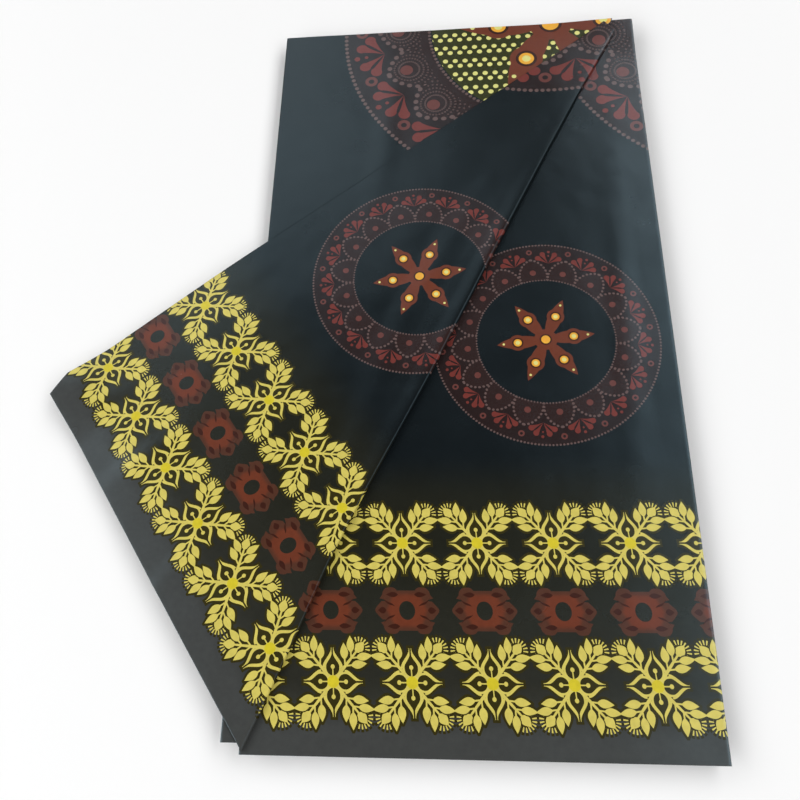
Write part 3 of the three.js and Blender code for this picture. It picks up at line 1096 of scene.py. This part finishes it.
class CLOTH_OT_flap(bpy.types.Operator):
    """Adds the corner that is turned over, as two plies of cloth rolled at the fold"""

    bl_idname = "cloth.flap"
    bl_label = "Turned flap"

    def execute(self, context):
        ply = context.scene.cloth_sizes.ply
        mesh = flat_flap()
        write_print(mesh, "turned_flap")
        write_wear(mesh)
        area = 2 * flat_area(mesh)
        for vert in mesh.verts:
            vert.co = roll_over(vert.co.xy)
        mesh.normal_update()
        offset = (WALL - ply / MM) / 2
        inner = bmesh.ops.duplicate(mesh, geom=mesh.verts[:] + mesh.edges[:] + mesh.faces[:])
        inner_verts = {item for item in inner["geom"] if isinstance(item, bmesh.types.BMVert)}
        inner_faces = [item for item in inner["geom"] if isinstance(item, bmesh.types.BMFace)]
        mesh.normal_update()
        for vert in mesh.verts:
            vert.co += vert.normal * (-offset if vert in inner_verts else offset)
        bmesh.ops.reverse_faces(mesh, faces=inner_faces)
        flap = finish_piece(
            mesh, "Turned_flap", "turned_flap",
            material("Printed cotton", printed_cotton))
        thicken(flap, ply)
        return {"FINISHED"}


# The stage: a pale floor, soft lights round the cloth and the camera over it.

def add_floor(scene):
    mesh = bmesh.new()
    bmesh.ops.create_grid(mesh, x_segments=1, y_segments=1, size=FLOOR_SIZE / 2)
    data = bpy.data.meshes.new("Floor")
    mesh.to_mesh(data)
    mesh.free()
    paint = Paint("Pale floor")
    paint.fill(paint.shader, {
        "Base Color": (0.97, 0.97, 0.97), "Roughness": 0.9, "Specular IOR Level": 0.1})
    data.materials.append(paint.material)
    floor = bpy.data.objects.new("Floor", data)
    floor.location.z = -FLOOR_DEPTH
    scene.collection.objects.link(floor)


def add_lights(scene):
    middle = PLAN_ORIGIN + Vector((0, LENGTH / 2, 0)) * MM
    for row in LIGHTS:
        light = bpy.data.lights.new(row["name"], "AREA")
        light.shape = "RECTANGLE"
        light.size = row["length"]
        light.size_y = row["width"]
        light.energy = row["power"]
        lamp = bpy.data.objects.new(row["name"], light)
        turn, lift = math.radians(row["azimuth"]), math.radians(row["elevation"])
        lamp.location = middle + LIGHT_AWAY * Vector((
            math.cos(turn) * math.cos(lift), math.sin(turn) * math.cos(lift), math.sin(lift)))
        lamp.rotation_euler = (middle - lamp.location).to_track_quat("-Z", "Y").to_euler()
        scene.collection.objects.link(lamp)


def add_world(scene):
    world = bpy.data.worlds.new("Studio")
    world.use_nodes = True
    background = world.node_tree.nodes["Background"]
    background.inputs["Color"].default_value = (1, 1, 1, 1)
    background.inputs["Strength"].default_value = WORLD_STRENGTH
    scene.world = world


def add_camera(scene):
    camera = bpy.data.objects.new("Camera", bpy.data.cameras.new("Camera"))
    camera.data.lens = CAMERA_LENS
    camera.data.clip_start = 0.01
    back = (CAMERA_PLACE - CAMERA_TARGET).normalized()
    across = Vector((0, 0, 1)).cross(back).normalized()
    turn = math.radians(CAMERA_TURN)
    right = across * math.cos(turn) + back.cross(across) * math.sin(turn)
    axes = Matrix((right, back.cross(right), back)).transposed()
    camera.matrix_world = Matrix.Translation(PLAN_ORIGIN + CAMERA_PLACE * MM) @ axes.to_4x4()
    scene.collection.objects.link(camera)
    scene.camera = camera


class CLOTH_OT_stage(bpy.types.Operator):
    """Adds the pale floor, the soft lights and the camera"""

    bl_idname = "cloth.stage"
    bl_label = "Stage"

    def execute(self, context):
        add_floor(context.scene)
        add_lights(context.scene)
        add_world(context.scene)
        context.scene.view_settings.view_transform = "Standard"
        add_camera(context.scene)
        return {"FINISHED"}


class CLOTH_PT_panel(bpy.types.Panel):
    """Lists the steps that build the cloth"""

    bl_idname = "CLOTH_PT_panel"
    bl_label = "Folded cloth"
    bl_space_type = "VIEW_3D"
    bl_region_type = "UI"
    bl_category = "Cloth"

    def draw(self, context):
        for group, names in (
            (context.scene.cloth_sizes, ClothSizes.__annotations__),
            (context.scene.print_colours, INK_NAMES),
        ):
            for name in names:
                self.layout.prop(group, name)
        for step in STEPS:
            self.layout.operator(step.bl_idname)


STEPS = (CLOTH_OT_hidden_folds, CLOTH_OT_leaves, CLOTH_OT_flap, CLOTH_OT_stage)
CLASSES = (ClothSizes, PrintColours, *STEPS, CLOTH_PT_panel)


def register():
    for listed in CLASSES:
        bpy.utils.register_class(listed)
    bpy.types.Scene.cloth_sizes = bpy.props.PointerProperty(type=ClothSizes)
    bpy.types.Scene.print_colours = bpy.props.PointerProperty(type=PrintColours)


def unregister():
    del bpy.types.Scene.print_colours
    del bpy.types.Scene.cloth_sizes
    for listed in reversed(CLASSES):
        bpy.utils.unregister_class(listed)


def main():
    register()
    bpy.ops.cloth.hidden_folds()
    bpy.ops.cloth.leaves()
    bpy.ops.cloth.flap()
    bpy.ops.cloth.stage()


if __name__ == "__main__":
    main()
